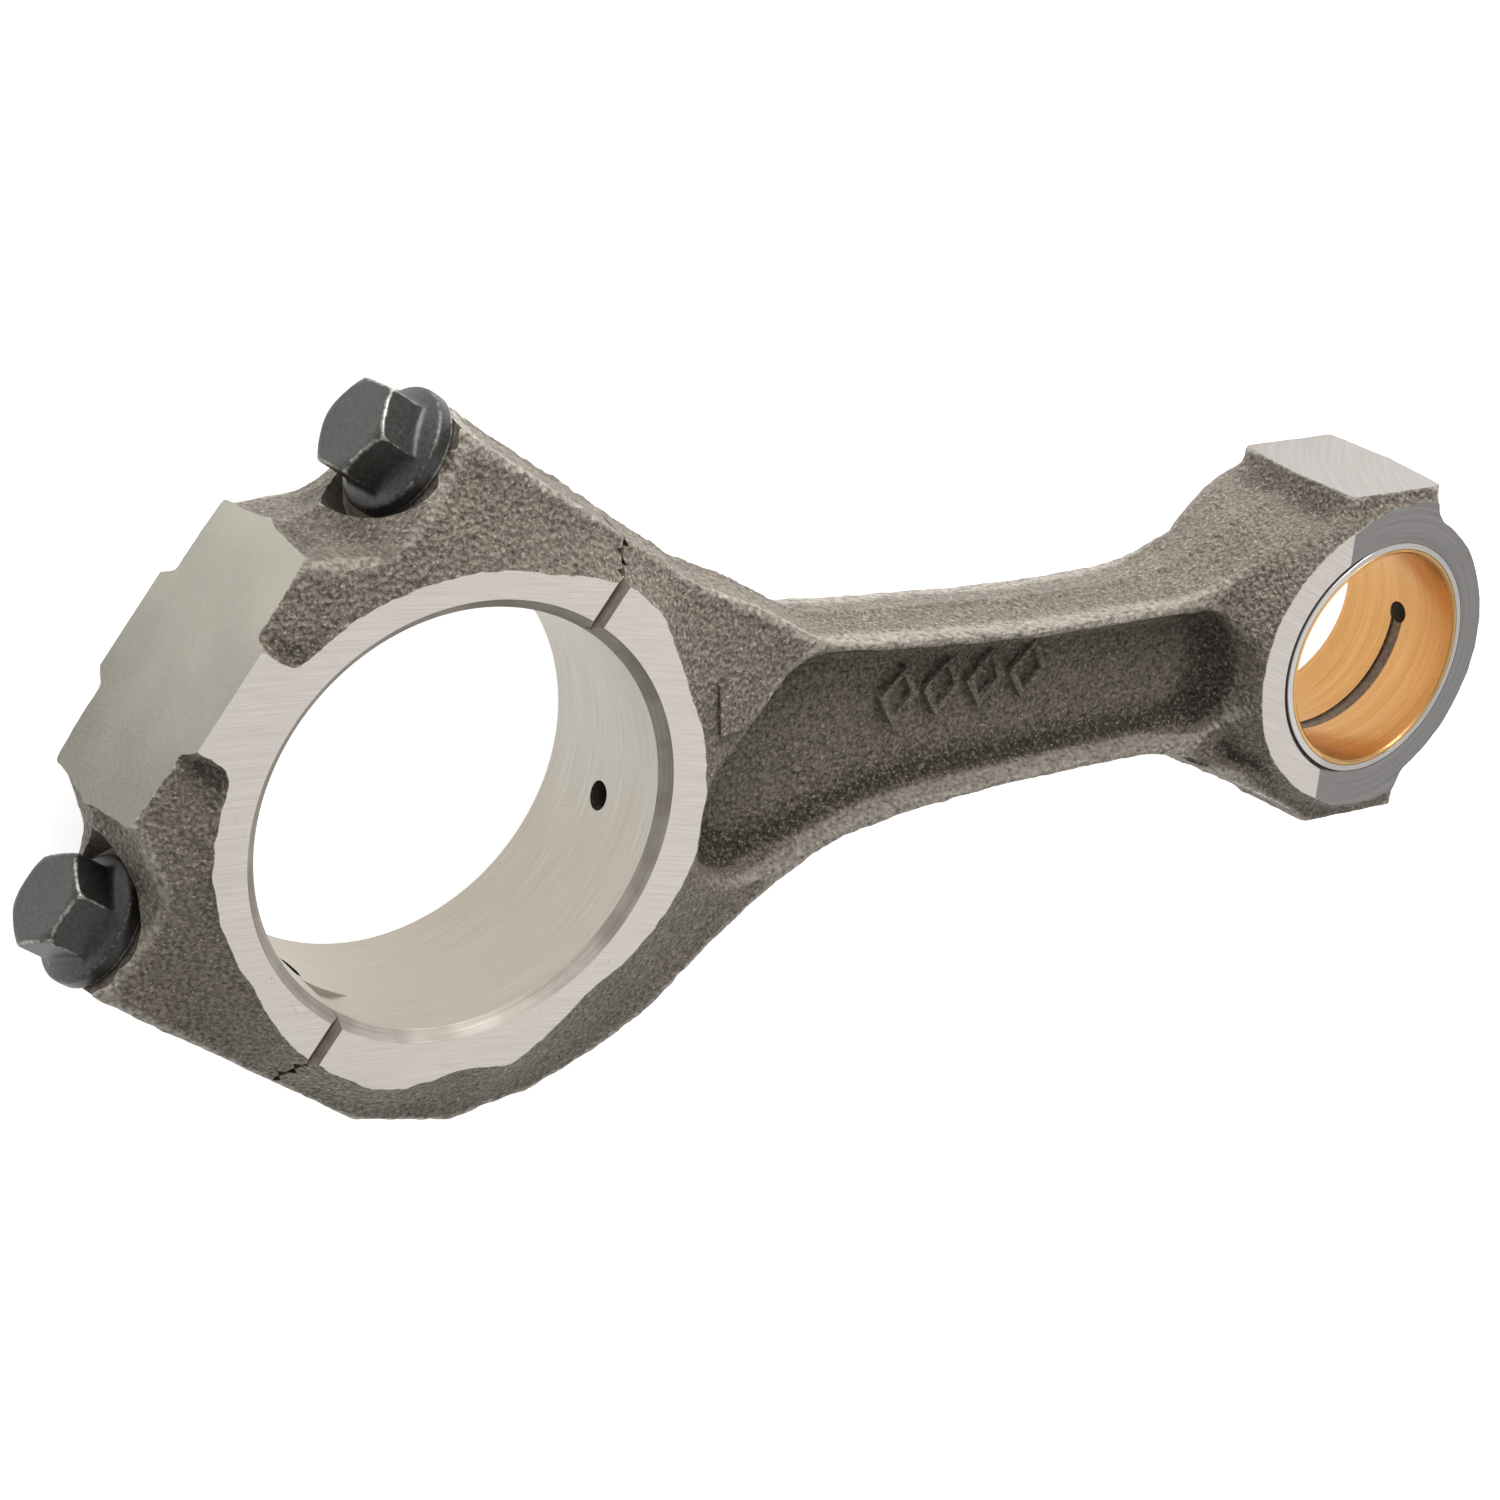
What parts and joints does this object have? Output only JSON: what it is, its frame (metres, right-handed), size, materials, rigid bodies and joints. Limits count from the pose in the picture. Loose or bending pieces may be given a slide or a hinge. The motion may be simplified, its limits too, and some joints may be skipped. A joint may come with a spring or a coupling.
{
  "type": "connecting rod",
  "caption": "Forged I-beam connecting rod with an obliquely split, serrated big end, a bolted bearing cap and a tapered small end with a bronze-lined bush.",
  "frame": {"origin": "big-end bore axis at mid-thickness", "axes": "+X along the rod from the big end to the small end, +Z along the bore axes towards the face with the tang notch of the rod, +Y to the side of the upper cap bolt"},
  "size_m": [0.2699, 0.119, 0.0344],
  "materials": {
    "forged_steel": "as forged, with ground and bored faces",
    "blackened_steel": "black oxide, worn bright at the edges",
    "bush_steel": "turned",
    "bronze": "fine bored"
  },
  "bodies": {
    "rod": {"rod_body": "forged_steel", "bush_back": "bush_steel", "bush_lining": "bronze"},
    "cap": {"bearing_cap": "forged_steel"},
    "bolt_upper": {"cap_bolt_upper": "blackened_steel"},
    "bolt_lower": {"cap_bolt_lower": "blackened_steel"}
  },
  "joints": [
    {"name": "cap_slide", "type": "slide", "parent": "rod", "child": "cap", "axis": [-0.8192, 0.5736, 0], "range_m": [0, 0.018]},
    {"name": "bolt_upper_turn", "type": "hinge", "parent": "cap", "child": "bolt_upper", "pos_m": [-0.00129, 0.05047, 0], "axis": [-0.8192, 0.5736, 0], "range_deg": [0, 4320]},
    {"name": "bolt_lower_turn", "type": "hinge", "parent": "cap", "child": "bolt_lower", "pos_m": [-0.04786, -0.01605, 0], "axis": [-0.8192, 0.5736, 0], "range_deg": [0, 4320]}
  ],
  "couplings": [
    {"joint": "bolt_upper_turn", "follows": "cap_slide", "rad_per_m": 4188.8},
    {"joint": "bolt_lower_turn", "follows": "cap_slide", "rad_per_m": 4188.8}
  ]
}
